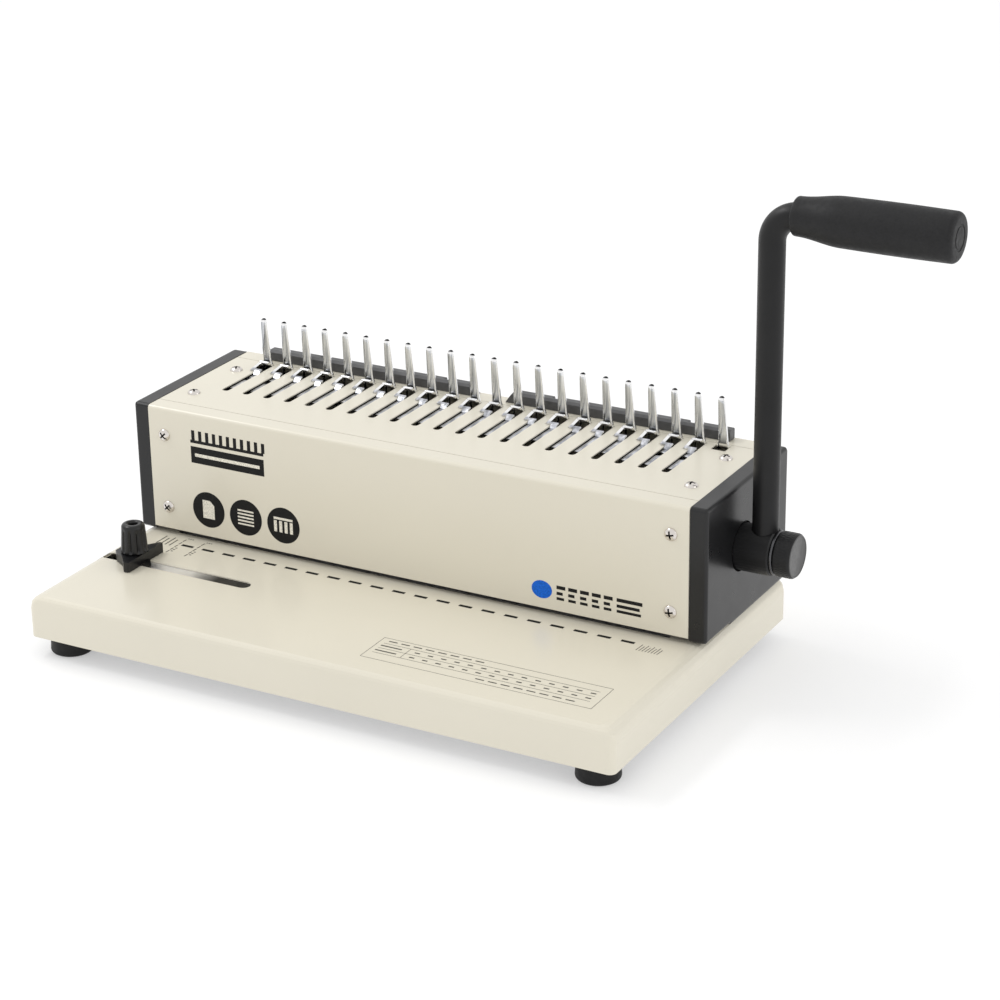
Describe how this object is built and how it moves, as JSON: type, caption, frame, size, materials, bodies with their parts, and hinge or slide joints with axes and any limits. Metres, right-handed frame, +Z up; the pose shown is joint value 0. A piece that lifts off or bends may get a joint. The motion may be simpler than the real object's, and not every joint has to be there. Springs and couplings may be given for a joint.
{
  "type": "comb binding machine",
  "caption": "Manual comb binding machine: a low base, a hooded punch with a row of comb-opening tines and hooks, and a side lever that punches the sheets and opens the comb.",
  "frame": {"origin": "middle of the whole machine's box in X and Y, on the table under its feet in Z", "axes": "+X along the row of tines to the handle's side, +Y from the paper deck to the back, +Z up"},
  "size_m": [0.481, 0.2175, 0.2801],
  "materials": {
    "cream_paint": "semi-gloss powder coat",
    "black_plastic": "satin-gloss moulded black",
    "black_metal": "satin black coat",
    "black_rubber": "matte black",
    "chrome": "bright plated steel",
    "nickel": "bright nickel plate",
    "steel": "plain steel",
    "brushed_steel": "brushed along its length",
    "brass": "machined"
  },
  "bodies": {
    "machine": {"base_pan": "cream_paint", "bottom_plate": "steel", "front_cover": "cream_paint", "top_plate": "cream_paint", "rear_cover": "cream_paint", "left_end_cap": "black_plastic", "right_end_cap": "black_plastic", "left_side_frame": "steel", "right_side_frame": "steel", "die_block": "steel", "tine_comb": "chrome", "comb_rest_left": "black_plastic", "comb_rest_right": "black_plastic", "slide_rail_left": "steel", "slide_rail_right": "steel", "shaft_bush_left": "brass", "shaft_bush_right": "brass", "return_spring_left": "steel", "return_spring_right": "steel", "front_screw_left_lower": "nickel", "front_screw_left_upper": "nickel", "front_screw_right_lower": "nickel", "front_screw_right_upper": "nickel", "rear_screw_left_lower": "nickel", "rear_screw_left_upper": "nickel", "rear_screw_right_lower": "nickel", "rear_screw_right_upper": "nickel", "top_screw_left_front": "nickel", "top_screw_left_rear": "nickel", "top_screw_right_front": "nickel", "top_screw_right_rear": "nickel", "foot_front_left": "black_rubber", "foot_front_right": "black_rubber", "foot_rear_left": "black_rubber", "foot_rear_right": "black_rubber", "foot_screw_front_left": "nickel", "foot_screw_front_right": "nickel", "foot_screw_rear_left": "nickel", "foot_screw_rear_right": "nickel"},
    "lever": {"main_shaft": "steel", "handle_hub": "black_metal", "handle_arm": "black_metal", "handle_grip": "black_rubber", "opener_sector_left": "steel", "opener_sector_right": "steel", "punch_pinion_left": "steel", "punch_pinion_right": "steel", "lock_washer": "black_metal"},
    "lock_knob": {"lock_knob": "black_metal"},
    "punch_carriage": {"punch_bar": "steel"},
    "comb_opener": {"hook_slider": "chrome"},
    "paper_guide": {"guide_plate": "black_plastic", "guide_stud": "steel", "guide_clamp_bar": "brushed_steel"},
    "guide_knob": {"guide_knob": "black_plastic"},
    "chip_tray": {"chip_tray": "black_plastic"}
  },
  "joints": [
    {"name": "handle_pull", "type": "hinge", "parent": "machine", "child": "lever", "pos_m": [0.13955, 0.04655, 0.0785], "axis": [1, 0, 0], "range_deg": [0, 85], "stiffness_Nm_per_rad": 1.2, "springref_deg": -20.05},
    {"name": "punch_drop", "type": "slide", "parent": "machine", "child": "punch_carriage", "axis": [0, 0, -1], "range_m": [0, 0.0119], "deforming": ["return_spring_left", "return_spring_right"]},
    {"name": "hook_slide", "type": "slide", "parent": "machine", "child": "comb_opener", "axis": [0, -1, 0], "range_m": [0, 0.0312]},
    {"name": "lock_knob_turn", "type": "hinge", "parent": "lever", "child": "lock_knob", "pos_m": [0.14845, 0.04655, 0.0785], "axis": [1, 0, 0], "continuous": true},
    {"name": "guide_slide", "type": "slide", "parent": "machine", "child": "paper_guide", "axis": [1, 0, 0], "range_m": [-0.0135, 0.06]},
    {"name": "guide_knob_turn", "type": "hinge", "parent": "paper_guide", "child": "guide_knob", "pos_m": [-0.21455, -0.04175, 0.043], "axis": [0, 0, 1], "continuous": true},
    {"name": "tray_slide", "type": "slide", "parent": "machine", "child": "chip_tray", "axis": [-1, 0, 0], "range_m": [0, 0.3]}
  ],
  "couplings": [
    {"joint": "punch_drop", "follows": "handle_pull", "m_per_rad": 0.008},
    {"joint": "hook_slide", "follows": "handle_pull", "m_per_rad": 0.021}
  ]
}
